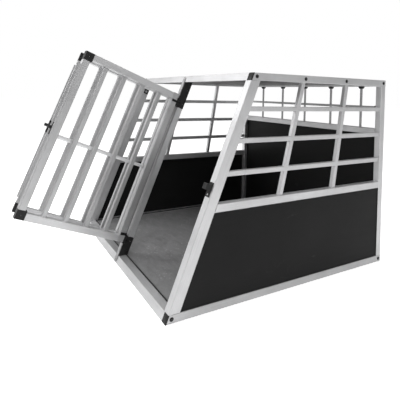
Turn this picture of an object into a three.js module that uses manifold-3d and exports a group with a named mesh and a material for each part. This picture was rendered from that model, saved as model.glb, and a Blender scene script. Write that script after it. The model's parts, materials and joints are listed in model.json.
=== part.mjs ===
// A two-door travelling dog crate: square aluminium tube frame with a raked front, black boards
// low down, bar grilles above, and two barred doors hung back to back on a centre post.
// Millimetres, +X to the right seen from the front, -Y to the front, +Z up.
// The origin is on the ground under the middle of the floor.
import * as THREE from "three";
import ManifoldModule from "manifold-3d";

const wasm = await ManifoldModule();
wasm.setup();

// ---------------------------------------------------------------- driving dimensions
const WIDTH = 900;
const DEPTH = 910;
const HEIGHT = 700;
const RAKE = 277; // how far the top of the front leans back
const TUBE = 24; // outside of the square frame tube
const WALL = 1.5;
const GAP = 0.3; // play between parts that touch
const EDGE = 1.2; // bevel on the tube's long edges
const BAR_WALL = 1.2;

const X_OUT = WIDTH / 2;
const X_IN = X_OUT - TUBE;
const X_MID = X_OUT - TUBE / 2;
const Y_FRONT = -DEPTH / 2;
const Y_BACK = DEPTH / 2;
const Z_TOP_RAIL = HEIGHT - TUBE;
const SLOPE = RAKE / HEIGHT;
const RAKE_ANGLE = Math.atan2(RAKE, HEIGHT);
const RAIL_RUN = TUBE / Math.cos(RAKE_ANGLE); // tube depth of a front rail, measured level

// Side walls
const MID_RAIL_Z = 286.5; // underside of the rail on top of the side board
const SIDE_BAR = 15;
const SIDE_BAR_PITCH = 96.5;
const BOARD = 3; // black boards, let in this far from the outside of the tubes:
const BOARD_INSET = 2;
const FRONT_POST_WIDTH = 29;
const FRONT_POST_DEPTH = 33;
const END_CAP = 3;
const PLUG_LENGTH = 12;

// Back wall
const BACK_RAIL_Z = 489; // underside of the rail on top of the back board
const BACK_BAR = 8;
const BACK_CROSS_BAR = 10;
const BACK_CROSS_Z = 594.5;
const BACK_BAR_FIRST_X = -280;
const BACK_BAR_PITCH = 157.6;
const BACK_BARS = 5;

// Floor and roof
const FLOOR_Z = 10;
const FLOOR_TOP = 22;
const FLOOR_PLAY = 3;
const ROOF_Z = 684;
const ROOF_TOP = 692;

// Centre post, in the plane of the raked front: x, v up the rake, n out of it
const POST_N = -31;
const POST_FRONT_N = -7;
const BLOCK_HALF = 13;
const BLOCK_TOP_V = 622;
const BLOCK_BOTTOM_V = 101;
const STRIP_V = [3, 749.5];
const STRIP_HALF = 9;
const STRIP_N = [GAP, 3.4];

// Doors, closed, in the same plane
const DOOR_X = [25, 416];
const DOOR_V = [79, 667.5];
const DOOR_N_FACE = 0.8; // the doors' inner faces
const DOOR_N = [DOOR_N_FACE, DOOR_N_FACE + TUBE];
const PIVOT_X = 19.5;
const PIVOT_N = 5.5;
const PIN_RADIUS = 2.4;
const EYE_RADIUS = 5;
const EAR_BACK_N = -8; // the ears reach back to here beside the block
const EAR_BITE = 0.4; // and into it by this much
const LEAF_FACE_X = 22.6;
const ARM_FRONT_N = 23.5;
const LEAF_N = [12, ARM_FRONT_N];
const TAB_END_X = 46; // how far the arm's tab reaches across the inner face of the stile
const TAB_N = [-2.2, DOOR_N_FACE - GAP];
const CORNER_WIDTH = 30;
const CORNER_HEIGHT = 31;
const CORNER_PROUD = 0.5;
const CORNER_DEPTH = 24.8;
const CORNER_EDGE = 2;
const LIP = 4.5;
const LIP_THICKNESS = 1.6;
const LIP_V = [126, 619];
const DOOR_BAR = 15;
const DOOR_BARS_X = [103, 178.3, 253.7, 329];
const DOOR_MID_V = [355, 367];
const DOOR_MID_N = [19.4, 24.6];
const RIGHT_OPEN = 87; // how far each door stands open, degrees
const LEFT_OPEN = 85;

// Hinge lugs: [bottom, top] of the eye, of the ears above and below it, and of the arm's parts
const TOP_HINGE = {
  eye: [634, 644],
  ears: [[624, 633.5], [644.5, 654]],
  leaf: [604, 664],
  tab: [634, 643],
};
const BOTTOM_HINGE = {
  eye: [84, 92],
  ears: [[75, 83.5], [92.5, 100.5]],
  leaf: [82.5, 142],
  tab: [104, 113],
};

// Latch
const LATCH_V = 385;
const LATCH_N = 12.5;
const BOLT_RADIUS = 5.2;
const BOLT_X = [405, 433]; // its back end clears the stile's far wall when it is drawn in
const PLATE_X = [DOOR_X[1] + GAP, 421];
const PLATE_N = [4.2, 21.5];
const PLATE_V = [361, 404];
const KEEPER_X = [424.5, 444.5];
const KEEPER_V = [357, 401];
const KEEPER_BOX_V = [376, 394];
const KEEPER_N = [GAP, 2.3];
const KEEPER_BOX_N = 21;
const KEEPER_FLOOR = 3; // wall at the end of the box, past the bolt's tip
const KEEPER_SIDE = 2.5;
const KEEPER_FRONT = 2.5;
const KEEPER_BACK_N = 4.8;
const TIP_CUTTER = 14; // side of the square cutter that bevels the bolt's tip
const TIP_OFFSET = 5;

// Screws through the outer walls of the top rails, at their two ends
const SCREW_HEAD = { radius: 5, top: 3.2, height: 2.2 };
const SCREW_SHANK = 1.8;
const SCREW_HOLE = 2.1;
const SCREW_LENGTH = 8;
const SCREW_Z = Z_TOP_RAIL + TUBE / 2;
const SCREWS_Y = { front: -166, back: 443 };

// ---------------------------------------------------------------- materials
const metal = (color) => new THREE.MeshStandardMaterial({ color, metalness: 0.9, roughness: 0.4 });
const plain = (color) => new THREE.MeshStandardMaterial({ color, metalness: 0, roughness: 0.6 });
const ALUMINIUM = metal(0xc4c6c8);
const BOARD_BLACK = plain(0x17181a);
const PLASTIC_BLACK = plain(0x1c1c1e);
const FLOOR_GREY = plain(0x55585b);
const STEEL = metal(0x9a9da0);
const SCREW_BLACK = metal(0x2b2b2d);

// ---------------------------------------------------------------- solids
// A three.js geometry as a solid that can be cut and joined.
function solid(geometry) {
  const flat = geometry.index ? geometry.toNonIndexed() : geometry;
  const positions = flat.getAttribute("position");
  const seen = new Map();
  const points = [];
  const corners = [];
  for (let i = 0; i < positions.count; i++) {
    const p = [positions.getX(i), positions.getY(i), positions.getZ(i)];
    const key = p.map((c) => Math.round(c * 1e4)).join();
    if (!seen.has(key)) {
      seen.set(key, points.length / 3);
      points.push(...p);
    }
    corners.push(seen.get(key));
  }
  const mesh = new wasm.Mesh({
    numProp: 3,
    vertProperties: new Float32Array(points),
    triVerts: new Uint32Array(corners),
  });
  return new wasm.Manifold(mesh);
}

function geometryOf(body) {
  const mesh = body.getMesh();
  const made = new THREE.BufferGeometry();
  made.setAttribute("position", new THREE.BufferAttribute(mesh.vertProperties, 3));
  made.setIndex(new THREE.BufferAttribute(mesh.triVerts, 1));
  return made;
}

const join = (...bodies) => bodies.reduce((a, b) => a.add(b));
const cut = (body, ...tools) => tools.reduce((a, b) => a.subtract(b), body);

// A block between two corners, given as [from, to] along each axis.
function block([x0, x1], [y0, y1], [z0, z1]) {
  const made = new THREE.BoxGeometry(x1 - x0, y1 - y0, z1 - z0);
  return solid(made.translate((x0 + x1) / 2, (y0 + y1) / 2, (z0 + z1) / 2));
}

// The range [a, b] on the right side, or its mirror image on the left.
const sided = (side, [a, b]) => (side > 0 ? [a, b] : [-b, -a]);
const grow = ([a, b], by) => [a - by, b + by];

// A flat outline in y and z, as deep in x as the range says.
function plate([x0, x1], outline) {
  const shape = new THREE.Shape(outline.map(([y, z]) => new THREE.Vector2(y, z)));
  const made = new THREE.ExtrudeGeometry(shape, { depth: x1 - x0, bevelEnabled: false });
  const axes = new THREE.Matrix4().makeBasis(
    new THREE.Vector3(0, 1, 0),
    new THREE.Vector3(0, 0, 1),
    new THREE.Vector3(1, 0, 0),
  );
  return solid(made.applyMatrix4(axes).translate(x0, 0, 0));
}

// The outline of a tube: a rectangle with its corners bevelled.
function section(width, depth, edge) {
  const w = width / 2;
  const d = depth / 2;
  return [
    [w, d - edge],
    [w - edge, d],
    [edge - w, d],
    [-w, d - edge],
    [-w, edge - d],
    [edge - w, -d],
    [w - edge, -d],
    [w, edge - d],
  ].map(([x, y]) => new THREE.Vector2(x, y));
}

// A bar from one point to another. Its width runs along `across`. A wall makes it hollow.
function bar(from, to, across, width, depth, { wall = 0, edge = EDGE } = {}) {
  const start = new THREE.Vector3(...from);
  const along = new THREE.Vector3(...to).sub(start);
  const length = along.length();
  along.normalize();
  const side = new THREE.Vector3(...across);
  const third = new THREE.Vector3().crossVectors(along, side);
  const shape = new THREE.Shape(section(width, depth, edge));
  if (wall > 0) {
    const inner = section(width - 2 * wall, depth - 2 * wall, edge / 2);
    shape.holes.push(new THREE.Path(inner.reverse()));
  }
  const made = new THREE.ExtrudeGeometry(shape, { depth: length, bevelEnabled: false });
  made.applyMatrix4(new THREE.Matrix4().makeBasis(side, third, along));
  return solid(made.translate(start.x, start.y, start.z));
}

const hollow = { wall: WALL };
const ALONG_X = [1, 0, 0];
const ALONG_Y = [0, 1, 0];

// A round pin or hole. Its axis is "x" or "y" of the frame that it is drawn in.
function round(axis, radius, [a, b], [p, q], facets = 20) {
  const made = new THREE.CylinderGeometry(radius, radius, b - a, facets);
  if (axis === "x") made.rotateZ(-Math.PI / 2).translate((a + b) / 2, p, q);
  else made.translate(p, (a + b) / 2, q);
  return solid(made);
}

// ---------------------------------------------------------------- frames and assembly
const crate = new THREE.Group();
crate.name = "dog_crate";

const frontPlane = new THREE.Matrix4().makeBasis(
  new THREE.Vector3(1, 0, 0),
  new THREE.Vector3(0, Math.sin(RAKE_ANGLE), Math.cos(RAKE_ANGLE)),
  new THREE.Vector3(0, -Math.cos(RAKE_ANGLE), Math.sin(RAKE_ANGLE)),
);
frontPlane.setPosition(0, Y_FRONT, 0);

const front = new THREE.Group();
front.applyMatrix4(frontPlane);
crate.add(front);

// A door's own group stands in the front plane, turned open about its pivot.
function doorGroup(side, openDegrees) {
  const turned = new THREE.Matrix4().makeRotationY(THREE.MathUtils.degToRad(-side * openDegrees));
  const toPivot = new THREE.Matrix4().makeTranslation(side * PIVOT_X, 0, PIVOT_N);
  const back = toPivot.clone().invert();
  const group = new THREE.Group();
  group.applyMatrix4(toPivot.multiply(turned).multiply(back));
  front.add(group);
  return group;
}

function add(group, name, body, material) {
  const mesh = new THREE.Mesh(geometryOf(body), material);
  mesh.name = name;
  group.add(mesh);
}

// The raked front face at height z, set back into the crate by `inset` (measured square to it).
const frontY = (z, inset = 0) => Y_FRONT + SLOPE * z + inset / Math.cos(RAKE_ANGLE);

// The outline in y and z between two heights, from the raked front to a straight back.
const rakedOutline = (z0, z1, inset, yBack) => [
  [frontY(z0, inset), z0],
  [yBack, z0],
  [yBack, z1],
  [frontY(z1, inset), z1],
];

// The outline of a slice parallel to the raked front, between two insets.
const slantSlice = (z0, z1, insetFront, insetBack) => [
  [frontY(z0, insetFront), z0],
  [frontY(z0, insetBack), z0],
  [frontY(z1, insetBack), z1],
  [frontY(z1, insetFront), z1],
];

// ---------------------------------------------------------------- side walls
// A rail that runs front to back: open at the raked front, where the cap plugs it, shut behind.
// Its outer wall is drilled at each of the places `screwsY`.
function sideRail(side, z0, screwsY) {
  const z1 = z0 + TUBE;
  const x = side * X_MID;
  const outer = bar([x, Y_FRONT - TUBE, z0 + TUBE / 2], [x, Y_BACK, z0 + TUBE / 2], ALONG_X, TUBE, TUBE);
  const bore = block(
    sided(side, grow([X_IN, X_OUT], -WALL)),
    [Y_FRONT - 2 * TUBE, Y_BACK - WALL],
    grow([z0, z1], -WALL),
  );
  const outline = rakedOutline(z0 - 1, z1 + 1, END_CAP + GAP, Y_BACK + 1);
  const kept = plate(sided(side, [X_IN - 1, X_OUT + 1]), outline);
  const holeX = sided(side, [X_MID, X_OUT + 1]);
  const holes = screwsY.map((y) => round("x", SCREW_HOLE, holeX, [y, z0 + TUBE / 2]));
  return cut(outer, bore, ...holes).intersect(kept);
}

// A domed screw in the outer wall of a top rail, head outside.
function cornerScrew(side, y) {
  const { radius, top, height } = SCREW_HEAD;
  const face = X_OUT + GAP;
  const outline = [
    [0, face - SCREW_LENGTH],
    [SCREW_SHANK, face - SCREW_LENGTH],
    [SCREW_SHANK, face],
    [radius, face],
    [radius, face + height / 2],
    [top, face + height],
    [0, face + height],
  ].map(([r, x]) => new THREE.Vector2(r, x));
  const made = new THREE.LatheGeometry(outline, 24);
  return solid(made.rotateZ((-side * Math.PI) / 2).translate(0, y, SCREW_Z));
}

// The plastic cap on a side rail's front end, flush with the raked front, and its plug.
function railCap(side, z0) {
  const z1 = z0 + TUBE;
  const face = plate(sided(side, [X_IN, X_OUT]), slantSlice(z0, z1, 0, END_CAP));
  const inner = WALL + GAP;
  const plug = plate(
    sided(side, grow([X_IN, X_OUT], -inner)),
    slantSlice(z0 + inner, z1 - inner, END_CAP / 2, PLUG_LENGTH),
  );
  return join(face, plug);
}

// The back face of the front post at height z.
const behindFrontPost = (z) => frontY(z, FRONT_POST_DEPTH);

function frontPost(side) {
  const x = side * (X_OUT - FRONT_POST_WIDTH / 2);
  const z0 = TUBE + GAP;
  const z1 = Z_TOP_RAIL - GAP;
  const middle = FRONT_POST_DEPTH / 2;
  const tube = bar(
    [x, frontY(-TUBE, middle), -TUBE],
    [x, frontY(HEIGHT + TUBE, middle), HEIGHT + TUBE],
    ALONG_X,
    FRONT_POST_WIDTH,
    FRONT_POST_DEPTH,
    hollow,
  );
  const kept = block(sided(side, [0, X_OUT + 1]), [Y_FRONT - TUBE, 0], [z0, z1]);
  return tube.intersect(kept);
}

function backPost(side) {
  const x = side * X_MID;
  const y = Y_BACK - TUBE / 2;
  return bar([x, y, TUBE + GAP], [x, y, Z_TOP_RAIL - GAP], ALONG_X, TUBE, TUBE, hollow);
}

function sideMidRail(side) {
  const x = side * X_MID;
  const z = MID_RAIL_Z + TUBE / 2;
  const tube = bar([x, Y_FRONT, z], [x, Y_BACK, z], ALONG_X, TUBE, TUBE, hollow);
  const outline = rakedOutline(
    MID_RAIL_Z - 1,
    MID_RAIL_Z + TUBE + 1,
    FRONT_POST_DEPTH + GAP,
    Y_BACK - TUBE - GAP,
  );
  return tube.intersect(plate(sided(side, [X_IN - 1, X_OUT + 1]), outline));
}

function sideBoard(side) {
  const x = sided(side, [X_OUT - BOARD_INSET - BOARD, X_OUT - BOARD_INSET]);
  const outline = rakedOutline(
    TUBE + GAP,
    MID_RAIL_Z - GAP,
    FRONT_POST_DEPTH + GAP,
    Y_BACK - TUBE - GAP,
  );
  return plate(x, outline);
}

// Bars welded where they cross, hollow right through. Each is given as [from, to, size].
function weldedBars(across, bars) {
  const outside = bars.map(([from, to, size]) => bar(from, to, across, size, size));
  const bores = bars.map(([from, to, size]) => {
    const inner = size - 2 * BAR_WALL;
    return bar(from, to, across, inner, inner, { edge: EDGE / 3 });
  });
  return cut(join(...outside), ...bores);
}

// Three level bars crossed by two that fan out, at the thirds of the rails above and below.
function sideGrille(side) {
  const x = side * X_MID;
  const z0 = MID_RAIL_Z + TUBE + GAP;
  const z1 = Z_TOP_RAIL - GAP;
  const railMiddle = MID_RAIL_Z + TUBE / 2;
  const backY = Y_BACK - TUBE;
  const bars = [];
  for (const row of [1, 2, 3]) {
    const z = railMiddle + row * SIDE_BAR_PITCH;
    bars.push([[x, Y_FRONT, z], [x, Y_BACK, z], SIDE_BAR]);
  }
  for (const share of [1 / 3, 2 / 3]) {
    const low = THREE.MathUtils.lerp(behindFrontPost(z0), backY, share);
    const high = THREE.MathUtils.lerp(frontY(HEIGHT), Y_BACK, share);
    const lean = (high - low) / (z1 - z0);
    const from = [x, low - lean * TUBE, z0 - TUBE];
    const to = [x, high + lean * TUBE, z1 + TUBE];
    bars.push([from, to, SIDE_BAR]);
  }
  const outline = rakedOutline(z0, z1, FRONT_POST_DEPTH + GAP, backY - GAP);
  return weldedBars(ALONG_X, bars).intersect(plate(sided(side, [X_IN, X_OUT]), outline));
}

for (const [side, tag] of [
  [1, "right"],
  [-1, "left"],
]) {
  add(crate, `side_bottom_rail_${tag}`, sideRail(side, 0, []), ALUMINIUM);
  add(crate, `side_top_rail_${tag}`, sideRail(side, Z_TOP_RAIL, Object.values(SCREWS_Y)), ALUMINIUM);
  for (const [end, y] of Object.entries(SCREWS_Y)) {
    add(crate, `corner_screw_${end}_${tag}`, cornerScrew(side, y), SCREW_BLACK);
  }
  add(crate, `bottom_rail_cap_${tag}`, railCap(side, 0), PLASTIC_BLACK);
  add(crate, `top_rail_cap_${tag}`, railCap(side, Z_TOP_RAIL), PLASTIC_BLACK);
  add(crate, `front_post_${tag}`, frontPost(side), ALUMINIUM);
  add(crate, `back_post_${tag}`, backPost(side), ALUMINIUM);
  add(crate, `side_mid_rail_${tag}`, sideMidRail(side), ALUMINIUM);
  add(crate, `side_board_${tag}`, sideBoard(side), BOARD_BLACK);
  add(crate, `side_grille_${tag}`, sideGrille(side), ALUMINIUM);
}

// ---------------------------------------------------------------- front rails
// A tube across the front whose front and back faces follow the rake.
function frontRail(z0) {
  const x = [GAP - X_IN, X_IN - GAP];
  const outer = plate(x, slantSlice(z0, z0 + TUBE, 0, TUBE));
  const bore = plate(grow(x, 1), slantSlice(z0 + WALL, z0 + TUBE - WALL, WALL, TUBE - WALL));
  return cut(outer, bore);
}

add(crate, "front_bottom_rail", frontRail(0), ALUMINIUM);
add(crate, "front_top_rail", frontRail(Z_TOP_RAIL), ALUMINIUM);

// ---------------------------------------------------------------- back wall
function backRail(z0) {
  const y = Y_BACK - TUBE / 2;
  const z = z0 + TUBE / 2;
  return bar([GAP - X_IN, y, z], [X_IN - GAP, y, z], ALONG_Y, TUBE, TUBE, hollow);
}

function backGrille() {
  const y = Y_BACK - TUBE / 2;
  const z0 = BACK_RAIL_Z + TUBE + GAP;
  const z1 = Z_TOP_RAIL - GAP;
  const bars = [[[GAP - X_IN, y, BACK_CROSS_Z], [X_IN - GAP, y, BACK_CROSS_Z], BACK_CROSS_BAR]];
  for (let i = 0; i < BACK_BARS; i++) {
    const x = BACK_BAR_FIRST_X + i * BACK_BAR_PITCH;
    bars.push([[x, y, z0], [x, y, z1], BACK_BAR]);
  }
  return weldedBars(ALONG_Y, bars);
}

const backBoard = block(
  [GAP - X_IN, X_IN - GAP],
  [Y_BACK - BOARD_INSET - BOARD, Y_BACK - BOARD_INSET],
  [TUBE + GAP, BACK_RAIL_Z - GAP],
);
add(crate, "back_bottom_rail", backRail(0), ALUMINIUM);
add(crate, "back_board_rail", backRail(BACK_RAIL_Z), ALUMINIUM);
add(crate, "back_top_rail", backRail(Z_TOP_RAIL), ALUMINIUM);
add(crate, "back_board", backBoard, BOARD_BLACK);
add(crate, "back_grille", backGrille(), ALUMINIUM);

// ---------------------------------------------------------------- floor and roof
const boardX = [1 - X_IN, X_IN - 1];
const floorFront = frontY(FLOOR_TOP, TUBE) + FLOOR_PLAY;
const floor = block(boardX, [floorFront, Y_BACK - TUBE - 1], [FLOOR_Z, FLOOR_TOP]);
const brace = block([GAP - X_IN, X_IN - GAP], [-TUBE / 2, TUBE / 2], [0, FLOOR_Z - GAP]);
const roofFront = frontY(ROOF_TOP, TUBE) + 1;
const roof = block(boardX, [roofFront, Y_BACK - TUBE - 1], [ROOF_Z, ROOF_TOP]);
add(crate, "floor_board", floor, FLOOR_GREY);
add(crate, "floor_brace", brace, ALUMINIUM);
add(crate, "roof_board", roof, BOARD_BLACK);

// ---------------------------------------------------------------- centre post
// Drawn in the front plane, where a block's ranges are x, v up the rake, and n out of the front.

// A level cut in the front plane: everything above (or below) the height z.
function levelCut(z, above) {
  const reach = DEPTH / 2; // more than a hinge block needs
  const y = [Y_FRONT - reach, reach];
  const tool = new THREE.BoxGeometry(X_OUT, y[1] - y[0], reach);
  const middle = above ? z + reach / 2 : z - reach / 2;
  tool.translate(0, (y[0] + y[1]) / 2, middle);
  return solid(tool.applyMatrix4(frontPlane.clone().invert()));
}

// The two ears that hold a door's hinge pin beside the block, above and below the door's eye.
function hingeEars(side, hinge) {
  return hinge.ears.map((v) => {
    const web = block(sided(side, [BLOCK_HALF - EAR_BITE, PIVOT_X]), v, [EAR_BACK_N, PIVOT_N]);
    const lug = round("y", EYE_RADIUS, v, [side * PIVOT_X, PIVOT_N], 24);
    const bore = round("y", PIN_RADIUS + GAP, grow(v, 1), [side * PIVOT_X, PIVOT_N], 16);
    return cut(join(web, lug), bore);
  });
}

function hingeBlock(v, hinge, level) {
  const body = block([-BLOCK_HALF, BLOCK_HALF], v, [POST_N, 0]);
  const ears = [...hingeEars(1, hinge), ...hingeEars(-1, hinge)];
  return cut(join(body, ...ears), level);
}

const topBlock = hingeBlock([BLOCK_TOP_V, HEIGHT + 2 * TUBE], TOP_HINGE, levelCut(Z_TOP_RAIL - GAP, true));
const bottomBlock = hingeBlock([-TUBE, BLOCK_BOTTOM_V], BOTTOM_HINGE, levelCut(TUBE + GAP, false));
const postN = (POST_N + POST_FRONT_N) / 2;
const centrePost = bar(
  [0, BLOCK_BOTTOM_V + GAP, postN],
  [0, BLOCK_TOP_V - GAP, postN],
  ALONG_X,
  TUBE,
  TUBE,
  hollow,
);

// The flat strip that covers the front of the post, rounded at both ends.
function coverStrip() {
  const [v0, v1] = STRIP_V;
  const r = STRIP_HALF;
  const shape = new THREE.Shape();
  shape.moveTo(-r, v0 + r);
  shape.absarc(0, v0 + r, r, Math.PI, 2 * Math.PI, false);
  shape.absarc(0, v1 - r, r, 0, Math.PI, false);
  const depth = STRIP_N[1] - STRIP_N[0];
  const made = new THREE.ExtrudeGeometry(shape, { depth, bevelEnabled: false, curveSegments: 10 });
  return solid(made.translate(0, 0, STRIP_N[0]));
}

add(front, "hinge_block_top", topBlock, PLASTIC_BLACK);
add(front, "hinge_block_bottom", bottomBlock, PLASTIC_BLACK);
add(front, "centre_post", centrePost, ALUMINIUM);
add(front, "centre_strip", coverStrip(), ALUMINIUM);

// ---------------------------------------------------------------- doors
const DOOR_N_MID = (DOOR_N[0] + DOOR_N[1]) / 2;
const HINGE_STILE_X = DOOR_X[0] + TUBE / 2;
const FREE_STILE_X = DOOR_X[1] - TUBE / 2;
const RAIL_X = [DOOR_X[0] + TUBE + GAP, DOOR_X[1] - CORNER_WIDTH - GAP];

function doorStile(side, x, v) {
  return bar([side * x, v[0], DOOR_N_MID], [side * x, v[1], DOOR_N_MID], ALONG_X, TUBE, TUBE, hollow);
}

// The free stile carries a thin lip on its inner face and a hole for the latch bolt.
function freeStile(side) {
  const v = [DOOR_V[0] + CORNER_HEIGHT + GAP, DOOR_V[1] - CORNER_HEIGHT - GAP];
  const tube = doorStile(side, FREE_STILE_X, v);
  const lipX = sided(side, [DOOR_X[1] - WALL, DOOR_X[1] + LIP]);
  const lipN = [DOOR_N[0] + EDGE, DOOR_N[0] + EDGE + LIP_THICKNESS];
  const lip = block(lipX, LIP_V, lipN);
  const holeX = sided(side, [DOOR_X[1] - TUBE / 2, DOOR_X[1] + 1]);
  const hole = round("x", BOLT_RADIUS + GAP, holeX, [LATCH_V, LATCH_N]);
  return cut(join(tube, lip), hole);
}

function doorRail(side, v) {
  const [x0, x1] = sided(side, RAIL_X);
  return bar([x0, v, DOOR_N_MID], [x1, v, DOOR_N_MID], ALONG_Y, TUBE, TUBE, hollow);
}

function doorCorner(side, v) {
  const [x0, x1] = sided(side, [DOOR_X[1] - CORNER_WIDTH, DOOR_X[1] + CORNER_PROUD]);
  const size = v[1] - v[0];
  const middle = (v[0] + v[1]) / 2;
  const from = [x0, middle, DOOR_N_MID];
  const to = [x1, middle, DOOR_N_MID];
  return bar(from, to, ALONG_Y, size, CORNER_DEPTH, { edge: CORNER_EDGE });
}

// Four upright bars with one flat bar across their outer side.
function doorGrille(side) {
  const v = [DOOR_V[0] + TUBE + GAP, DOOR_V[1] - TUBE - GAP];
  const crossX = sided(side, [DOOR_X[0] + TUBE + GAP, DOOR_X[1] - TUBE - GAP]);
  const uprights = DOOR_BARS_X.map((x) => {
    const from = [side * x, v[0], DOOR_N_MID];
    const to = [side * x, v[1], DOOR_N_MID];
    return bar(from, to, ALONG_X, DOOR_BAR, DOOR_BAR, { wall: BAR_WALL });
  });
  return join(block(crossX, DOOR_MID_V, DOOR_MID_N), ...uprights);
}

// The plastic arm screwed to the hinge stile: a leaf, a tab that turns the corner on to the
// stile's inner face, an eye between the ears, and the pin.
function hingeArm(side, hinge) {
  const leaf = block(sided(side, [LEAF_FACE_X, DOOR_X[0] - GAP]), hinge.leaf, LEAF_N);
  const web = block(sided(side, [PIVOT_X, DOOR_X[0] - GAP]), hinge.eye, [PIVOT_N, ARM_FRONT_N]);
  const turn = block(sided(side, [LEAF_FACE_X, DOOR_X[0] - GAP]), hinge.tab, [TAB_N[0], LEAF_N[1]]);
  const tab = block(sided(side, [LEAF_FACE_X, TAB_END_X]), hinge.tab, TAB_N);
  const eye = round("y", EYE_RADIUS, hinge.eye, [side * PIVOT_X, PIVOT_N], 24);
  const pinV = [hinge.ears[0][0], hinge.ears[1][1]];
  const pin = round("y", PIN_RADIUS, pinV, [side * PIVOT_X, PIVOT_N], 16);
  return join(leaf, web, turn, tab, eye, pin);
}

function latchPlate(side) {
  const body = block(sided(side, PLATE_X), PLATE_V, PLATE_N);
  const hole = round("x", BOLT_RADIUS + GAP, sided(side, grow(PLATE_X, 1)), [LATCH_V, LATCH_N]);
  return cut(body, hole);
}

// The sprung bolt. Its tip is bevelled on the closing side, so the keeper pushes it in.
function latchBolt(side) {
  const body = round("x", BOLT_RADIUS, sided(side, BOLT_X), [LATCH_V, LATCH_N], 24);
  const tip = BOLT_X[1];
  const wedge = new THREE.BoxGeometry(TIP_CUTTER, 2 * TUBE, TIP_CUTTER);
  wedge.rotateY((-side * Math.PI) / 4);
  wedge.translate(side * (tip + TIP_OFFSET), LATCH_V, LATCH_N - BOLT_RADIUS - TIP_OFFSET);
  return cut(body, solid(wedge));
}

// The keeper on the front post: a plate with a box whose mouth faces the door's bolt.
function keeper(side) {
  const foot = block(sided(side, KEEPER_X), KEEPER_V, KEEPER_N);
  const boxN = [KEEPER_N[0], KEEPER_BOX_N];
  const box = block(sided(side, KEEPER_X), KEEPER_BOX_V, boxN);
  const mouthX = sided(side, [KEEPER_X[0] - 1, KEEPER_X[1] - KEEPER_FLOOR]);
  const mouthN = [KEEPER_BACK_N, KEEPER_BOX_N - KEEPER_FRONT];
  const mouth = block(mouthX, grow(KEEPER_BOX_V, -KEEPER_SIDE), mouthN);
  return cut(join(foot, box), mouth);
}

for (const [side, tag, open] of [
  [1, "right", RIGHT_OPEN],
  [-1, "left", LEFT_OPEN],
]) {
  const door = doorGroup(side, open);
  const [low, high] = DOOR_V;
  add(door, `door_hinge_stile_${tag}`, doorStile(side, HINGE_STILE_X, DOOR_V), ALUMINIUM);
  add(door, `door_free_stile_${tag}`, freeStile(side), ALUMINIUM);
  add(door, `door_top_rail_${tag}`, doorRail(side, high - TUBE / 2), ALUMINIUM);
  add(door, `door_bottom_rail_${tag}`, doorRail(side, low + TUBE / 2), ALUMINIUM);
  add(door, `door_corner_top_${tag}`, doorCorner(side, [high - CORNER_HEIGHT, high]), PLASTIC_BLACK);
  add(door, `door_corner_bottom_${tag}`, doorCorner(side, [low, low + CORNER_HEIGHT]), PLASTIC_BLACK);
  add(door, `door_grille_${tag}`, doorGrille(side), ALUMINIUM);
  add(door, `hinge_arm_top_${tag}`, hingeArm(side, TOP_HINGE), PLASTIC_BLACK);
  add(door, `hinge_arm_bottom_${tag}`, hingeArm(side, BOTTOM_HINGE), PLASTIC_BLACK);
  add(door, `latch_plate_${tag}`, latchPlate(side), PLASTIC_BLACK);
  add(door, `latch_bolt_${tag}`, latchBolt(side), STEEL);
  add(front, `keeper_${tag}`, keeper(side), PLASTIC_BLACK);
}

export default crate;
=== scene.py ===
"""Looks of a two-door travelling dog crate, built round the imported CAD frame.

Sizes named below are millimetres. Everything placed in the scene is metres, +Z up.
"""

import json
import math

import bmesh
import bpy
from mathutils import Matrix, Vector


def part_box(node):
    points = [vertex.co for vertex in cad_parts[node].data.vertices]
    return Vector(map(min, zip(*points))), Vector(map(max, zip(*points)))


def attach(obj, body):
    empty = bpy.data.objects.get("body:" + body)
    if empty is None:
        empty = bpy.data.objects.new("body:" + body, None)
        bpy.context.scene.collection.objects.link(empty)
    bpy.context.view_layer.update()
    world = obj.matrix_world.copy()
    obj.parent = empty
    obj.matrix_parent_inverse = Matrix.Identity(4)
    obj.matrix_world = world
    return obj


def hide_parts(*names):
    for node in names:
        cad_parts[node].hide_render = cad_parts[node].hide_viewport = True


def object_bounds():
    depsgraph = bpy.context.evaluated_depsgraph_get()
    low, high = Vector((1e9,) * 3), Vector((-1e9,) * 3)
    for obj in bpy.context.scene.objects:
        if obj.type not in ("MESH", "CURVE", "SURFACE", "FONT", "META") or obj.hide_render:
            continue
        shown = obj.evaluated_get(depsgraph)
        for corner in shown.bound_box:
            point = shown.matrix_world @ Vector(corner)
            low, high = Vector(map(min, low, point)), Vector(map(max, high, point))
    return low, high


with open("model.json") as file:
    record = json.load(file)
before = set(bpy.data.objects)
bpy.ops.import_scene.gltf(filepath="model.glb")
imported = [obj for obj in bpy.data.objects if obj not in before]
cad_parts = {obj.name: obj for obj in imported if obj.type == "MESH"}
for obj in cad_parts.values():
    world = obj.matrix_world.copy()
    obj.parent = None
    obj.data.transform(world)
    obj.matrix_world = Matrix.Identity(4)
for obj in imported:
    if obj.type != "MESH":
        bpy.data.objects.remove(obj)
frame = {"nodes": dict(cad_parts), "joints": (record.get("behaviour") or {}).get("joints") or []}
CAD_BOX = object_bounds()
NODES = frame["nodes"]
JOINTS = {joint["name"]: joint for joint in frame["joints"]}
MM = 0.001
SIDES = {"right": 1, "left": -1}

# ---------------------------------------------------------------- the frames that pieces are drawn in
X_AXIS = Vector((1, 0, 0))
Y_AXIS = Vector((0, 1, 0))
Z_AXIS = Vector((0, 0, 1))
UP_FRONT = Vector(JOINTS["door_right_hinge"]["axis"]).normalized()
OUT_FRONT = X_AXIS.cross(UP_FRONT)


def basis(x, y, z, origin):
    """The matrix whose axes are x, y and z, at an origin."""
    turned = Matrix((x, y, z)).transposed().to_4x4()
    turned.translation = origin
    return turned


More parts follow.
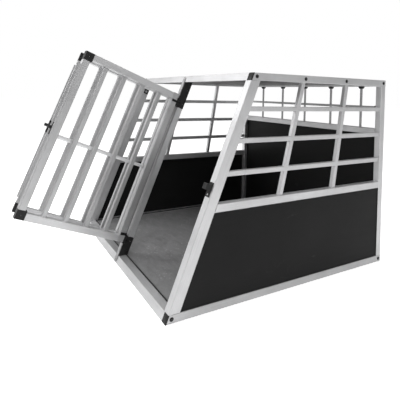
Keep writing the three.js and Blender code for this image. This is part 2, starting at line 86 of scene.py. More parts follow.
FRONT_FOOT = Vector((0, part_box("bottom_rail_cap_right")[0].y, 0))
FRONT = basis(X_AXIS, UP_FRONT, OUT_FRONT, FRONT_FOOT)


def open_degrees(tag):
    """How far a door stands open at rest: its hinge's longer travel."""
    return max(abs(a) for a in JOINTS[f"door_{tag}_hinge"]["range_deg"])


def door_frame(tag):
    """The front plane's frame, turned with the door as it stands at rest."""
    pivot = FRONT.inverted() @ Vector(JOINTS[f"door_{tag}_hinge"]["pos_m"])
    turn = Matrix.Rotation(math.radians(-SIDES[tag] * open_degrees(tag)), 4, "Y")
    return FRONT @ Matrix.Translation(pivot) @ turn @ Matrix.Translation(-pivot)


DOOR = {tag: door_frame(tag) for tag in SIDES}


def seat(frame_matrix, at, outward):
    """A place for a small piece: its foot at `at` (mm in that frame), its own +Z along `outward`."""
    turn = Vector(outward).to_track_quat("Z", "Y").to_matrix().to_4x4()
    return frame_matrix @ Matrix.Translation(Vector(at) * MM) @ turn


# ---------------------------------------------------------------- materials
FULL_EDGE_WEAR_AND_HIGHLIGHT = 0.12  # how far an edge's softened direction turns before the edge counts as fully lightened: worn bare and painted highlight together


class Finish:
    """One procedural material: a Principled shader, and small tools that build what drives it."""

    def __init__(self, name, **sockets):
        self.material = bpy.data.materials.new(name)
        self.material.use_nodes = True
        self.tree = self.material.node_tree
        self.shader = self.tree.nodes["Principled BSDF"]
        for socket, value in sockets.items():
            self.shader.inputs[socket.replace("_", " ")].default_value = value
        self.place = self.node("TexCoord").outputs["Object"]

    def node(self, kind, inputs=None, **settings):
        made = self.tree.nodes.new("ShaderNode" + kind)
        for key, value in settings.items():
            setattr(made, key, value)
        for key, value in (inputs or {}).items():
            self.feed(made.inputs[key], value)
        return made

    def feed(self, socket, value):
        if isinstance(value, bpy.types.NodeSocket):
            self.tree.links.new(value, socket)
        else:
            socket.default_value = value

    def drawn_along(self, axis, stretch, across=1.0):
        """Coordinates stretched along an axis, so that a pattern runs in long streaks."""
        turn = Vector(axis).to_track_quat("X", "Z").to_euler()
        inputs = {"Vector": self.place, "Rotation": turn, "Scale": (stretch, across, 1.0)}
        return self.node("Mapping", inputs, vector_type="TEXTURE").outputs[0]

    def noise(self, scale, where=None, detail=3.0, roughness=0.5, distortion=0.0):
        inputs = {
            "Vector": where or self.place,
            "Scale": scale,
            "Detail": detail,
            "Roughness": roughness,
            "Distortion": distortion,
        }
        return self.node("TexNoise", inputs).outputs["Fac"]

    def cells(self, scale):
        """Distance to the nearest of many scattered points."""
        inputs = {"Vector": self.place, "Scale": scale}
        return self.node("TexVoronoi", inputs).outputs["Distance"]

    def math(self, operation, a, b=0.0):
        made = self.node("Math", operation=operation)
        for socket, value in zip(made.inputs, (a, b)):
            self.feed(socket, value)
        return made.outputs[0]

    def spread(self, value, low, high, to_low=0.0, to_high=1.0):
        """The value's range low to high becomes to_low to to_high, and stops there."""
        inputs = {
            "Value": value,
            "From Min": low,
            "From Max": high,
            "To Min": to_low,
            "To Max": to_high,
        }
        return self.node("MapRange", inputs).outputs["Result"]

    def blend(self, share, a, b):
        made = self.node("Mix", data_type="RGBA")
        for socket, value in zip((made.inputs[0], made.inputs[6], made.inputs[7]), (share, a, b)):
            self.feed(socket, value)
        return made.outputs[2]

    def rounded_edges(self, radius):
        """The surface's direction with its sharp edges softened."""
        return self.node("Bevel", {"Radius": radius}, samples=4).outputs["Normal"]

    def edge_wear_and_highlight(self, soft):
        """1 along an edge, 0 on a flat face: how far the softened direction leaves the true one. It masks
        edges lightened as wear and as a painted highlight.
        """
        flat = self.node("NewGeometry").outputs["Normal"]
        agree = self.node("VectorMath", {0: soft, 1: flat}, operation="DOT_PRODUCT").outputs["Value"]
        return self.spread(self.math("SUBTRACT", 1.0, agree), 0.0, FULL_EDGE_WEAR_AND_HIGHLIGHT)

    def bump(self, height, strength, depth, normal=None):
        inputs = {"Height": height, "Strength": strength, "Distance": depth}
        if normal is not None:
            inputs["Normal"] = normal
        return self.node("Bump", inputs).outputs["Normal"]

    def set(self, **values):
        for key, value in values.items():
            self.feed(self.shader.inputs[key.replace("_", " ")], value)
        return self.material


def grey(value):
    return (value, value, value * 1.01, 1.0)


def aluminium(name, along, bright=0.76, dull=0.60):
    """Satin anodised extrusion: die lines along the tube, cloudy oxide, fine scratches, edges lightened as
    wear and as a painted highlight.
    """
    f = Finish(name, Metallic=0.84)
    streak = f.noise(700, f.drawn_along(along, 120), detail=2.0)
    die_line = f.noise(2600, f.drawn_along(along, 400), detail=2.0, roughness=0.7)
    cloud = f.noise(9, detail=4.0, roughness=0.6)
    handling = f.noise(26, f.drawn_along(along, 3), detail=6.0, roughness=0.68, distortion=0.6)
    grain = f.noise(5200, detail=1.0)
    scratch_field = f.noise(38, f.drawn_along(along, 5), detail=1.0, distortion=2.4)
    scratch = f.spread(f.math("ABSOLUTE", f.math("SUBTRACT", scratch_field, 0.5)), 0.0, 0.006, 1.0, 0.0)
    sparse = f.spread(f.noise(14, detail=1.0), 0.56, 0.66)
    scratch = f.math("MULTIPLY", scratch, sparse)
    soft = f.rounded_edges(0.0009)
    edge = f.edge_wear_and_highlight(soft)

    tone = f.math("ADD", f.math("MULTIPLY", streak, 0.45), f.math("MULTIPLY", cloud, 0.55))
    tone = f.spread(tone, 0.32, 0.68)
    colour = f.blend(tone, grey(dull), grey(bright))
    colour = f.blend(f.math("MULTIPLY", scratch, 0.55), colour, grey(0.93))
    # edges lightened towards near white: worn bare metal and painted highlight
    colour = f.blend(f.math("MULTIPLY", edge, 0.6), colour, grey(0.95))

    rough = f.spread(handling, 0.3, 0.7, 0.40, 0.54)
    rough = f.math("ADD", rough, f.math("MULTIPLY", f.math("SUBTRACT", streak, 0.5), 0.12))
    rough = f.math("SUBTRACT", rough, f.math("MULTIPLY", edge, 0.10))
    rough = f.math("SUBTRACT", rough, f.math("MULTIPLY", scratch, 0.10))

    normal = f.bump(die_line, 0.22, 0.00006, soft)
    normal = f.bump(grain, 0.12, 0.00002, normal)
    normal = f.bump(scratch, 0.10, 0.00004, normal)
    return f.set(Base_Color=colour, Roughness=rough, Normal=normal)


def moulded_plastic(name, tone):
    """Black moulded plastic: fine spark-eroded grain, slight sheen changes, edges lighter as rubbed wear and
    as a painted highlight.
    """
    f = Finish(name, Specular_IOR_Level=0.35)
    grain = f.noise(2400, detail=3.0, roughness=0.7)
    pits = f.cells(1700)
    cloud = f.noise(40, detail=3.0)
    dust = f.spread(f.noise(900, detail=2.0), 0.66, 0.78)
    soft = f.rounded_edges(0.0008)
    edge = f.edge_wear_and_highlight(soft)
    colour = f.blend(cloud, grey(tone * 0.8), grey(tone * 1.35))
    # edges lightened: rubbed wear and painted highlight
    colour = f.blend(f.math("MULTIPLY", edge, 0.4), colour, grey(0.075))
    colour = f.blend(f.math("MULTIPLY", dust, 0.12), colour, grey(0.25))
    rough = f.spread(cloud, 0.3, 0.7, 0.42, 0.58)
    rough = f.math("SUBTRACT", rough, f.math("MULTIPLY", edge, 0.12))
    normal = f.bump(grain, 0.30, 0.00005, soft)
    normal = f.bump(pits, 0.15, 0.00003, normal)
    return f.set(Base_Color=colour, Roughness=rough, Normal=normal)


def laminate(name, tone, grain_along):
    """Black film-faced board: orange-peel film, faint pressed grain, hairline scuffs and dust."""
    f = Finish(name, Specular_IOR_Level=0.14)
    peel = f.noise(420, detail=2.0, roughness=0.5)
    pressed = f.noise(90, f.drawn_along(grain_along, 14), detail=5.0, roughness=0.6)
    cloud = f.noise(5, detail=3.0)
    scuff_field = f.noise(16, f.drawn_along(grain_along, 3), detail=1.5, distortion=3.0)
    scuff = f.spread(f.math("ABSOLUTE", f.math("SUBTRACT", scuff_field, 0.5)), 0.0, 0.004, 1.0, 0.0)
    scuff = f.math("MULTIPLY", scuff, f.spread(f.noise(7, detail=1.0), 0.58, 0.70))
    dust = f.spread(f.noise(1300, detail=1.0), 0.70, 0.80)
    soft = f.rounded_edges(0.0006)
    tones = f.spread(f.math("ADD", cloud, f.math("MULTIPLY", pressed, 0.7)), 0.6, 1.1)
    colour = f.blend(tones, grey(tone * 0.85), grey(tone * 1.2))
    colour = f.blend(f.math("MULTIPLY", scuff, 0.35), colour, grey(0.12))
    colour = f.blend(f.math("MULTIPLY", dust, 0.10), colour, grey(0.3))
    rough = f.spread(pressed, 0.3, 0.7, 0.40, 0.52)
    rough = f.math("ADD", rough, f.math("MULTIPLY", scuff, 0.15))
    normal = f.bump(peel, 0.10, 0.00012, soft)
    normal = f.bump(pressed, 0.12, 0.00006, normal)
    return f.set(Base_Color=colour, Roughness=rough, Normal=normal)


def floor_laminate(name):
    """Grey anti-slip floor: speckled print, pressed mesh, and the soft wear of paws."""
    f = Finish(name)
    speck = f.noise(520, detail=4.0, roughness=0.75)
    mottled = f.noise(46, f.drawn_along(X_AXIS, 2.2), detail=6.0, roughness=0.66, distortion=0.5)
    cloud = f.noise(4.5, detail=3.0)
    flecks = f.spread(f.cells(260), 0.10, 0.22, 1.0, 0.0)
    worn = f.spread(f.noise(11, detail=2.0), 0.48, 0.60)
    chips = f.math("MULTIPLY", f.spread(f.cells(72), 0.12, 0.30, 1.0, 0.0), worn)
    mesh = f.cells(330)
    soft = f.rounded_edges(0.0006)
    tones = f.math("ADD", f.math("MULTIPLY", mottled, 0.6), f.math("MULTIPLY", speck, 0.4))
    colour = f.blend(f.spread(tones, 0.36, 0.64), grey(0.125), grey(0.225))
    colour = f.blend(f.spread(cloud, 0.35, 0.7, 0.0, 0.3), colour, grey(0.14))
    colour = f.blend(f.math("MULTIPLY", flecks, 0.3), colour, grey(0.34))
    colour = f.blend(f.math("MULTIPLY", chips, 0.55), colour, grey(0.36))
    rough = f.spread(mottled, 0.3, 0.7, 0.50, 0.66)
    normal = f.bump(mesh, 0.35, 0.00025, soft)
    normal = f.bump(speck, 0.20, 0.00010, normal)
    return f.set(Base_Color=colour, Roughness=rough, Normal=normal)


def steel(name, tone):
    """Turned steel: fine machining rings and small stains."""
    f = Finish(name, Metallic=1.0)
    rings = f.noise(3600, f.drawn_along(Z_AXIS, 1), detail=2.0)
    stain = f.noise(220, detail=4.0)
    soft = f.rounded_edges(0.0004)
    edge = f.edge_wear_and_highlight(soft)
    colour = f.blend(stain, grey(tone * 0.8), grey(tone * 1.15))
    # edges lightened: wear and painted highlight
    colour = f.blend(f.math("MULTIPLY", edge, 0.5), colour, grey(0.85))
    rough = f.spread(stain, 0.3, 0.7, 0.22, 0.38)
    normal = f.bump(rings, 0.15, 0.00003, soft)
    return f.set(Base_Color=colour, Roughness=rough, Normal=normal)


def rubber(name):
    """Black rubber cord that seals the boards in the tubes."""
    f = Finish(name, Roughness=0.7)
    grain = f.noise(1500, detail=3.0)
    bloom = f.noise(60, detail=3.0)
    colour = f.blend(bloom, grey(0.010), grey(0.024))
    normal = f.bump(grain, 0.3, 0.00006)
    return f.set(Base_Color=colour, Normal=normal, Roughness=f.spread(bloom, 0.3, 0.7, 0.6, 0.8))


def door_rail_axis(tag):
    return (DOOR[tag].to_3x3() @ X_AXIS).normalized()


ALONG = {
    "x": aluminium("aluminium_across", X_AXIS),
    "y": aluminium("aluminium_along", Y_AXIS),
    "z": aluminium("aluminium_upright", Z_AXIS),
    "rake": aluminium("aluminium_raked", UP_FRONT),
    "right": aluminium("aluminium_right_door", door_rail_axis("right")),
    "left": aluminium("aluminium_left_door", door_rail_axis("left")),
}
# a darker copy of the aluminium for the back grille: painted shade of the crate's interior
SHADED_BACK_GRILLE = aluminium("aluminium_back_grille_painted_shade", X_AXIS, bright=0.52, dull=0.38)
# a darker copy of the aluminium for the side bottom rails: painted shade
SHADED_LOW_RAIL = aluminium("aluminium_low_rail_painted_shade", Y_AXIS, bright=0.66, dull=0.52)
# a darker copy of the aluminium for the door bars, stiles and bar collars: painted shade
SHADED_DOOR_UPRIGHTS = aluminium("aluminium_door_uprights_painted_shade", UP_FRONT, bright=0.64, dull=0.48)
# a darker copy of the aluminium for the centre strip: painted shadow of the doors
SHADED_STRIP = aluminium("aluminium_strip_painted_shade", UP_FRONT, bright=0.50, dull=0.36)
# a much lighter copy of the aluminium for the door's cross bar: painted highlight
LIT_CROSS_BAR = {
    tag: aluminium(f"aluminium_cross_bar_painted_highlight_{tag}", door_rail_axis(tag), bright=0.96, dull=0.88)
    for tag in SIDES
}
PLASTIC = moulded_plastic("black_moulded_plastic", 0.010)
BOARD = laminate("black_laminate", 0.010, Y_AXIS)
BOARD_ACROSS = laminate("black_laminate_across", 0.008, X_AXIS)
FLOOR = floor_laminate("grey_floor_laminate")
STEEL = steel("turned_steel", 0.55)
BLACK_STEEL = steel("blackened_steel", 0.045)
RUBBER = rubber("seal_rubber")

# The first name that begins a node's name gives its material.
NODE_FINISH = [
    ("side_bottom_rail", SHADED_LOW_RAIL),
    ("side_top_rail", ALONG["y"]),
    ("side_mid_rail", ALONG["y"]),
    ("side_grille", ALONG["y"]),
    ("side_board", BOARD),
    ("roof_board", BOARD_ACROSS),
    ("front_post", ALONG["rake"]),
    ("centre_post", ALONG["rake"]),
    ("centre_strip", SHADED_STRIP),
    ("front_bottom_rail", ALONG["x"]),
    ("front_top_rail", ALONG["x"]),
    ("back_post", ALONG["z"]),
    ("back_board_rail", ALONG["x"]),
    ("back_board", BOARD_ACROSS),
    ("back_grille", SHADED_BACK_GRILLE),
    ("back_", ALONG["x"]),
    ("floor_board", FLOOR),
    ("floor_brace", ALONG["x"]),
    ("door_top_rail_right", ALONG["right"]),
    ("door_bottom_rail_right", ALONG["right"]),
    ("door_top_rail_left", ALONG["left"]),
    ("door_bottom_rail_left", ALONG["left"]),
    ("door_corner", PLASTIC),
    ("door_", SHADED_DOOR_UPRIGHTS),
    ("latch_bolt", BLACK_STEEL),
    ("corner_screw", BLACK_STEEL),
    ("latch_plate", PLASTIC),
    ("keeper", PLASTIC),
    ("hinge_", PLASTIC),
    ("bottom_rail_cap", PLASTIC),
    ("top_rail_cap", PLASTIC),
]


def paint(piece, material):
    piece.data.materials.clear()
    piece.data.materials.append(material)


for node_name, piece in NODES.items():
    paint(piece, next(m for start, m in NODE_FINISH if node_name.startswith(start)))


# ---------------------------------------------------------------- small pieces
RING_POINTS = 24
CORNER_STEPS = 4
SHARP_FROM = 40  # degrees: flatter edges than this are shaded smooth


def circle(radius, z):
    turns = [2 * math.pi * i / RING_POINTS for i in range(RING_POINTS)]
    return [Vector((radius * math.cos(t), radius * math.sin(t), z)) for t in turns]


def hexagon(radius, z):
    """A hexagon with the same number of points as the circle round it."""
    points = []
    for i in range(RING_POINTS):
        t = 2 * math.pi * i / RING_POINTS
        nearest = (t % (math.pi / 3)) - math.pi / 6
        reach = radius * math.cos(math.pi / 6) / math.cos(nearest)
        points.append(Vector((reach * math.cos(t), reach * math.sin(t), z)))
    return points


def rounded(width, depth, corner, z):
    """A rectangle with round corners."""
    points = []
    for cx, cy, start in ((1, 1, 0), (-1, 1, 90), (-1, -1, 180), (1, -1, 270)):
        for i in range(CORNER_STEPS + 1):
            t = math.radians(start + 90 * i / CORNER_STEPS)
            x = cx * (width / 2 - corner) + corner * math.cos(t)
            y = cy * (depth / 2 - corner) + corner * math.sin(t)
            points.append(Vector((x, y, z)))
    return points


def bridge(bm, loops, next_loops):
    """Joins each loop of corners to the next one with a band of four-sided faces."""
    for low, high in zip(loops, next_loops):
        for i in range(len(low)):
            j = (i + 1) % len(low)
            bm.faces.new((low[i], low[j], high[j], high[i]))


def loops_from(bm, place, rings):
    return [[bm.verts.new(place @ (point * MM)) for point in ring] for ring in rings]


def loft(bm, place, rings):
    """Joins rings of equal count, given in mm, into one closed skin."""
    loops = loops_from(bm, place, rings)
    bridge(bm, loops, loops[1:])
    bm.faces.new(list(reversed(loops[0])))
    bm.faces.new(loops[-1])


def screw(bm, place, radius, height):
    """A low domed head with a hexagon socket."""
    r, h = radius, height
    rings = [circle(r * 0.96, 0), circle(r, h * 0.2), circle(r * 0.97, h * 0.42), circle(r * 0.84, h * 0.72)]
    rings += [circle(r * 0.66, h * 0.92), circle(r * 0.5, h), hexagon(r * 0.42, h * 0.98)]
    rings += [hexagon(r * 0.39, h * 0.45), circle(r * 0.1, h * 0.35)]
    loft(bm, place, rings)


def bar_cap(bm, place, radius, height):
    """A half-round plastic cap, flat side against the rail, with the bar coming out of its crown."""
    steps = 7
    rings = [circle(radius * 0.97, 0), circle(radius, height * 0.08)]
    for i in range(1, steps):
        t = math.radians(90 * i / steps)
        rings.append(circle(radius * (0.42 + 0.58 * math.cos(t)), height * (0.08 + 0.92 * math.sin(t))))
    loft(bm, place, rings)


def square(size, z):
    """A square ring with small round corners."""
    return rounded(size, size, size * 0.1, z)


def disc(size, z):
    return circle(size / 2, z)


def collar(bm, place, ring, outer, inner, height):
    """A ring round a bolt or bar, with soft edges. `ring` draws its outline at a given size."""
    soft = min(0.5, height / 3)
    rings = [ring(inner, 0), ring(outer, 0), ring(outer, height - soft), ring(outer - 2 * soft, height)]
    rings += [ring(inner + 2 * soft, height), ring(inner, height - soft)]
    loops = loops_from(bm, place, rings)
    bridge(bm, loops, loops[1:] + loops[:1])


def pad(bm, place, width, depth, height, corner=2.0, soft=0.6):
    """A flat moulded pad with round corners and a soft upper edge."""
    rings = [rounded(width, depth, corner, 0), rounded(width, depth, corner, height - soft)]
    for i in (1, 2, 3):
        t = math.radians(30 * i)
        inset = 2 * soft * (1 - math.cos(t))
        z = height - soft + soft * math.sin(t)
        rings.append(rounded(width - inset, depth - inset, corner - inset / 2, z))
    loft(bm, place, rings)


def piece(name, build, body, material, slot):
    """Makes one object from what build(bm) draws, and hangs it on a body."""
    bm = bmesh.new()
    build(bm)
    bmesh.ops.recalc_face_normals(bm, faces=bm.faces)
    mesh = bpy.data.meshes.new(name)
    bm.to_mesh(mesh)
    bm.free()
    mesh.shade_smooth()
    mesh.set_sharp_from_angle(angle=math.radians(SHARP_FROM))
    made = bpy.data.objects.new(name, mesh)
    bpy.context.scene.collection.objects.link(made)
    paint(made, material)
    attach(made, body)
    return made


def middle(node, axis):
    low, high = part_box(node)
    return (low[axis] + high[axis]) / 2 / MM


WORLD = Matrix.Identity(4)
SEAT_DEPTH = 0.1  # how far a small piece is let into what it sits on
RAKE_COS = UP_FRONT.z

# Black screws in the outer faces of the long side rails, from front to back
HALF_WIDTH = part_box("side_top_rail_right")[1].x / MM
TOP_SCREWS_Y = [-166, 37, 235, 443]
BOTTOM_SCREWS_Y = [-436, 443]
RAIL_SCREW = {"radius": 6.2, "height": 2.2}


def side_screws(tag):
    side = SIDES[tag]
    places = [(y, middle(f"side_top_rail_{tag}", 2)) for y in TOP_SCREWS_Y]
    places += [(y, middle(f"side_bottom_rail_{tag}", 2)) for y in BOTTOM_SCREWS_Y]

    def build(bm):
        for y, z in places:
            at = (side * (HALF_WIDTH - SEAT_DEPTH), y, z)
            screw(bm, seat(WORLD, at, (side, 0, 0)), **RAIL_SCREW)

    made = piece(f"rail_screws_{tag}", build, "crate", BLACK_STEEL, "black_screw")
    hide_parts(f"corner_screw_front_{tag}", f"corner_screw_back_{tag}")


# A raised panel on the slanting face of each rail cap
CAP_PANEL = {"width": 19, "depth": 20.5, "height": 1.0}


def cap_panels(tag):
    side = SIDES[tag]
    x = side * middle("side_top_rail_right", 0)

    def build(bm):
        for rail in ("side_bottom_rail_right", "side_top_rail_right"):
            v = middle(rail, 2) / RAKE_COS
            pad(bm, seat(FRONT, (x, v, -SEAT_DEPTH), (0, 0, 1)), **CAP_PANEL)

    piece(f"rail_cap_panels_{tag}", build, "crate", PLASTIC, "black_plastic")


# Rubber cord pressed in all round the boards, inside and out
CORD_RADIUS = 1.0
CORD_FACETS = 8


def bead(bm, corners, facing, radius=CORD_RADIUS):
    """A round cord laid just inside a closed outline of corners (mm), with mitred turns."""
    loops = []
    for before, here, after in zip(corners[-1:] + corners[:-1], corners, corners[1:] + corners[:1]):
        out = (after - here).normalized()
        back = (before - here).normalized()
        inward = (out + back).normalized()
        stretch = radius / inward.cross(out).length
        ring = []
        for i in range(CORD_FACETS):
            t = 2 * math.pi * i / CORD_FACETS
            point = here + inward * stretch * (1 + math.cos(t)) + facing * radius * math.sin(t)
            ring.append(bm.verts.new(point * MM))
        loops.append(ring)
    bridge(bm, loops, loops[1:] + loops[:1])


def board_seals(name, node, flat, raked):
    """Cords on both faces of a board. `flat` is the axis the board is thin along."""
    low, high = (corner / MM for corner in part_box(node))
    wide = 1 - flat
    facing = Vector([1.0 if i == flat else 0.0 for i in range(3)])
    lean = (high.z - low.z) * UP_FRONT.y / UP_FRONT.z if raked else 0.0
    outline = [(low[wide], low.z), (high[wide], low.z), (high[wide], high.z), (low[wide] + lean, high.z)]

    def build(bm):
        for face, side in ((low[flat], -1), (high[flat], 1)):
            corners = []
            for along, z in outline:
                corner = Vector((0, 0, z))
                corner[wide] = along
                corner[flat] = face + side * (CORD_RADIUS - SEAT_DEPTH)
                corners.append(corner)
            bead(bm, corners, facing)

    piece(name, build, "crate", RUBBER, "black_plastic")


FLOOR_SHADOW_CORD_RADIUS = 1.8  # the thicker dark cord between the floor board and the rails, a painted shadow of the gap there


def floor_gap_shadow_cord(bm):
    """A dark cord round the top of the floor board, where it meets the rails: painted shadow of the gap
    between them.
    """
    low, high = (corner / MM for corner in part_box("floor_board"))
    z = high.z + FLOOR_SHADOW_CORD_RADIUS - SEAT_DEPTH
    rim = [(low.x, low.y), (high.x, low.y), (high.x, high.y), (low.x, high.y)]
    bead(bm, [Vector((x, y, z)) for x, y in rim], Z_AXIS, FLOOR_SHADOW_CORD_RADIUS)


# Caps where the bars of the back grille meet the rail above, and on the ends of its cross bar
BACK_TOP_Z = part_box("back_top_rail")[0].z / MM
BACK_Y = middle("back_top_rail", 1)
FIRST_BACK_BAR_X = -280
BACK_BAR_PITCH = 157.6
BACK_BARS_X = [FIRST_BACK_BAR_X + BACK_BAR_PITCH * i for i in range(5)]
CROSS_BAR_Z = 594.5
UPRIGHT_CAP = {"radius": 11.5, "height": 9.0}
CROSS_BAR_CAP = {"radius": 8.5, "height": 12.0}


def back_caps(bm):
    for x in BACK_BARS_X:
        bar_cap(bm, seat(WORLD, (x, BACK_Y, BACK_TOP_Z + SEAT_DEPTH), (0, 0, -1)), **UPRIGHT_CAP)
    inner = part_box("back_post_right")[0].x / MM
    for side in SIDES.values():
        at = (side * (inner + SEAT_DEPTH), BACK_Y, CROSS_BAR_Z)
        bar_cap(bm, seat(WORLD, at, (-side, 0, 0)), **CROSS_BAR_CAP)


# The centre post: screws down the cover strip and in the sides of the hinge blocks
STRIP_FACE_N = 3.4
STRIP_SCREWS_V = [13, 58, 690, 739]
BLOCK_HALF = 13
BLOCK_SCREWS_V = [50, 86, 638, 696]
BLOCK_SCREWS_N = -20
STRIP_SCREW = {"radius": 4.0, "height": 1.8}
BLOCK_SCREW = {"radius": 3.6, "height": 1.6}


def strip_screws(bm):
    for v in STRIP_SCREWS_V:
        screw(bm, seat(FRONT, (0, v, STRIP_FACE_N - SEAT_DEPTH), (0, 0, 1)), **STRIP_SCREW)


def block_screws(bm):
    for side in SIDES.values():
        for v in BLOCK_SCREWS_V:
            at = (side * (BLOCK_HALF - SEAT_DEPTH), v, BLOCK_SCREWS_N)
            screw(bm, seat(FRONT, at, (side, 0, 0)), **BLOCK_SCREW)


# The front posts: a square plug with its screw near the top of the inner face, and the keeper's
# screw at its place in the front plane (x, v, n)
POST_INNER_X = 421
PLUG_V = 690
PLUG_N = -20
PLUG = {"width": 22, "depth": 22, "height": 2.6, "corner": 3}
PLUG_SCREW = {"radius": 5.5, "height": 2.0}
PLUG_SCREW_X = POST_INNER_X - 2.4
KEEPER_SCREW_AT = (434.5, 364.5, 2.3)
KEEPER_SCREW = {"radius": 3.2, "height": 1.5}


def post_plugs(bm):
    for side in SIDES.values():
        at = (side * (POST_INNER_X + SEAT_DEPTH), PLUG_V, PLUG_N)
        pad(bm, seat(FRONT, at, (-side, 0, 0)), **PLUG)


def post_screws(bm):
    for side in SIDES.values():
        screw(bm, seat(FRONT, (side * PLUG_SCREW_X, PLUG_V, PLUG_N), (-side, 0, 0)), **PLUG_SCREW)
        x, v, n = KEEPER_SCREW_AT
        screw(bm, seat(FRONT, (side * x, v, n - SEAT_DEPTH), (0, 0, 1)), **KEEPER_SCREW)


# The doors, drawn closed in the front plane: x, v up the rake, n out of it
STILE_X = 37
DOOR_N = 12.8
DOOR_ENDS_V = [79, 667.5]
RAIL_EDGES_V = [103, 643.5]
DOOR_BARS_X = [103, 178.3, 253.7, 329]
CORNER_X = 401
CORNERS_V = [94.5, 652]
CORNER_FACES_N = [0.4, 25.2]
LEAF_X = 22.6
LEAF_N = 17.8
LEAF_SCREWS_V = [101, 134, 612, 656]
CROSS_ENDS_X = [49.3, 391.7]
CROSS_V = 361
CROSS_FACES_N = [19.4, 24.6]
BAR_HALF = 7.5
SKIN = {"height": 0.4, "corner": 0.5, "soft": 0.15}
SKIN_WIDTH = 11.2
SKIN_DEPTH = 0.3  # how far a skin is let into the cross bar
SKIN_PLAY = 1.0  # how much shorter a skin is than the space it lies in
PLATE_FACE_X = 421
PLATE_N = 12.5
PLATE_SCREWS_V = [366.5, 399]
BOLT_V = 385
STILE_PLUG = {"width": 22, "depth": 22, "height": 1.5}
BAR_COLLAR = {"outer": 19.5, "inner": 15.2, "height": 1.8}
BOLT_COLLAR = {"outer": 15.6, "inner": 11.2, "height": 1.4}
CORNER_SCREW = {"radius": 3.4, "height": 1.3}
LEAF_SCREW = {"radius": 3.2, "height": 1.5}
PLATE_SCREW = {"radius": 2.4, "height": 0.9}


def door_pieces(tag):
    side = SIDES[tag]
    door = DOOR[tag]

    def stile_plugs(bm):
        for v, up in zip(DOOR_ENDS_V, (-1, 1)):
            place = seat(door, (side * STILE_X, v - up * SEAT_DEPTH, DOOR_N), (0, up, 0))
            pad(bm, place, **STILE_PLUG)

    def bar_collars(bm):
        for x in DOOR_BARS_X:
            for v, up in zip(RAIL_EDGES_V, (1, -1)):
                place = seat(door, (side * x, v - up * SEAT_DEPTH, DOOR_N), (0, up, 0))
                collar(bm, place, square, **BAR_COLLAR)

    def cross_bar_highlight_skins(bm):
        """Near-white skins on the cross bar's faces, a painted highlight: between the uprights inside, right
        across outside.
        """
        sides_of_bars = [x + reach for x in DOOR_BARS_X for reach in (-BAR_HALF, BAR_HALF)]
        stops = CROSS_ENDS_X[:1] + sides_of_bars + CROSS_ENDS_X[1:]
        inner, outer = CROSS_FACES_N
        spans = [(x0, x1, inner, -1) for x0, x1 in zip(stops[::2], stops[1::2])]
        spans.append((*CROSS_ENDS_X, outer, 1))
        for x0, x1, n, out in spans:
            at = (side * (x0 + x1) / 2, CROSS_V, n - out * SKIN_DEPTH)
            pad(bm, seat(door, at, (0, 0, out)), x1 - x0 - SKIN_PLAY, SKIN_WIDTH, **SKIN)

    def screws(bm):
        for v in CORNERS_V:
            for n, out in zip(CORNER_FACES_N, (-1, 1)):
                at = (side * CORNER_X, v, n - out * SEAT_DEPTH)
                screw(bm, seat(door, at, (0, 0, out)), **CORNER_SCREW)
        for v in LEAF_SCREWS_V:
            at = (side * (LEAF_X + SEAT_DEPTH), v, LEAF_N)
            screw(bm, seat(door, at, (-side, 0, 0)), **LEAF_SCREW)
        for v in PLATE_SCREWS_V:
            at = (side * (PLATE_FACE_X - SEAT_DEPTH), v, PLATE_N)
            screw(bm, seat(door, at, (side, 0, 0)), **PLATE_SCREW)

    def bolt_collar(bm):
        at = (side * (PLATE_FACE_X - SEAT_DEPTH), BOLT_V, PLATE_N)
        collar(bm, seat(door, at, (side, 0, 0)), disc, **BOLT_COLLAR)

    body = f"door_{tag}"
    piece(f"stile_plugs_{tag}", stile_plugs, body, PLASTIC, "black_plastic")
    piece(f"bar_collars_{tag}", bar_collars, body, SHADED_DOOR_UPRIGHTS, "aluminium_tube")
    # the cross bar's skins carry the painted highlight
    piece(f"cross_bar_painted_highlight_{tag}", cross_bar_highlight_skins, body, LIT_CROSS_BAR[tag], "aluminium_tube")
    piece(f"door_screws_{tag}", screws, body, BLACK_STEEL, "black_screw")
    piece(f"bolt_collar_{tag}", bolt_collar, body, BLACK_STEEL, "bolt_steel")


for side_tag in SIDES:
    side_screws(side_tag)
    cap_panels(side_tag)
    door_pieces(side_tag)
    board_seals(f"board_seals_{side_tag}", f"side_board_{side_tag}", flat=0, raked=True)
board_seals("board_seals_back", "back_board", flat=1, raked=False)
# a dark rubber cord stands in for the shadow in the gap between floor board and rails
piece("floor_gap_shadow_cord", floor_gap_shadow_cord, "crate", RUBBER, "black_plastic")
piece("back_bar_caps", back_caps, "crate", PLASTIC, "black_plastic")
piece("strip_screws", strip_screws, "crate", STEEL, "bolt_steel")
piece("hinge_block_screws", block_screws, "crate", BLACK_STEEL, "black_screw")
piece("post_plugs", post_plugs, "crate", PLASTIC, "black_plastic")
piece("post_screws", post_screws, "crate", STEEL, "bolt_steel")

# ---------------------------------------------------------------- camera, floor and light
CAMERA_AT = (1.3991, -0.8977, 0.6300)
CAMERA_TURN = (89.126, -1.457, 59.802)  # degrees
LENS = 34.982
SENSOR_WIDTH = 36.0
SHIFT = (-0.015, -0.25)

camera_data = bpy.data.cameras.new("camera")
camera_data.lens = LENS
camera_data.sensor_width = SENSOR_WIDTH
camera_data.shift_x, camera_data.shift_y = SHIFT
camera = bpy.data.objects.new("camera", camera_data)
camera.location = CAMERA_AT
camera.rotation_euler = [math.radians(a) for a in CAMERA_TURN]
bpy.context.scene.collection.objects.link(camera)
bpy.context.scene.camera = camera


FLOOR_LIFT = 0.40  # brings the far floor up to the white of the backdrop
FLOOR_RADIUS = 30.0
FLOOR_DROP = 0.0005  # the stage lies this far under the crate


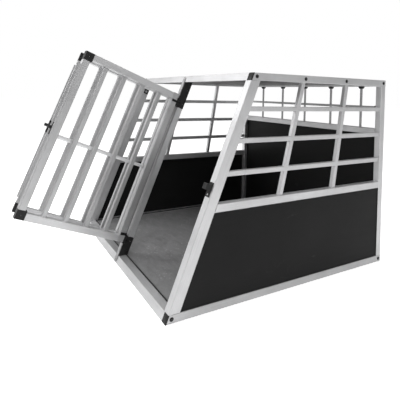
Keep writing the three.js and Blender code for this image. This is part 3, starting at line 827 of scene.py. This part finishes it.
def stage_floor():
    """A wide pale floor just under the crate."""
    f = Finish("studio_floor", Roughness=0.85)
    tone = f.spread(f.noise(1.5, detail=2.0), 0.3, 0.7, 0.86, 0.90)
    colour = f.node("CombineColor", {0: tone, 1: tone, 2: tone}).outputs[0]
    seen = f.node("LightPath").outputs["Is Camera Ray"]
    lift = f.spread(seen, 0.0, 1.0, 0.0, FLOOR_LIFT)
    material = f.set(Base_Color=colour, Emission_Color=(1, 1, 1, 1), Emission_Strength=lift)
    bm = bmesh.new()
    bmesh.ops.create_circle(bm, cap_ends=True, segments=96, radius=FLOOR_RADIUS)
    mesh = bpy.data.meshes.new("studio_floor")
    bm.to_mesh(mesh)
    bm.free()
    made = bpy.data.objects.new("studio_floor", mesh)
    made.location.z = CAD_BOX[0].z - FLOOR_DROP
    bpy.context.scene.collection.objects.link(made)
    paint(made, material)


stage_floor()


def soft_light(name, at, towards, size, power):
    data = bpy.data.lights.new(name, "AREA")
    data.shape = "RECTANGLE"
    data.size, data.size_y = size
    data.energy = power
    lamp = bpy.data.objects.new(name, data)
    lamp.location = at
    lamp.rotation_euler = (Vector(towards) - Vector(at)).to_track_quat("-Z", "Y").to_euler()
    bpy.context.scene.collection.objects.link(lamp)


soft_light("key", (-2.6, -3.4, 2.4), (0, 0, 0.3), (2.6, 2.2), 70)
soft_light("top", (0.4, -0.3, 3.6), (0, 0, 0.3), (3.4, 3.4), 100)
soft_light("fill", (3.8, -1.0, 1.8), (0, 0, 0.4), (2.4, 2.0), 6)

BACKDROP = 1.0  # what the camera sees past the crate
LIGHT_ALL_ROUND = 0.74  # what lights matt surfaces
MIRRORED = 0.24  # what the metal reflects


def studio_world():
    """A white backdrop, even light on matt surfaces, and a darker room mirrored in the metal."""
    world = bpy.data.worlds.new("studio")
    world.use_nodes = True
    tree = world.node_tree
    background = tree.nodes["Background"]
    path = tree.nodes.new("ShaderNodeLightPath")
    strength = tree.nodes.new("ShaderNodeMapRange")
    matt_or_metal = tree.nodes.new("ShaderNodeMapRange")
    matt_or_metal.inputs["To Min"].default_value = MIRRORED
    matt_or_metal.inputs["To Max"].default_value = LIGHT_ALL_ROUND
    strength.inputs["To Max"].default_value = BACKDROP
    tree.links.new(path.outputs["Is Diffuse Ray"], matt_or_metal.inputs["Value"])
    tree.links.new(path.outputs["Is Camera Ray"], strength.inputs["Value"])
    tree.links.new(matt_or_metal.outputs["Result"], strength.inputs["To Min"])
    tree.links.new(strength.outputs["Result"], background.inputs["Strength"])
    background.inputs["Color"].default_value = (1, 1, 1, 1)
    bpy.context.scene.world = world


studio_world()
bpy.context.scene.view_settings.view_transform = "Standard"
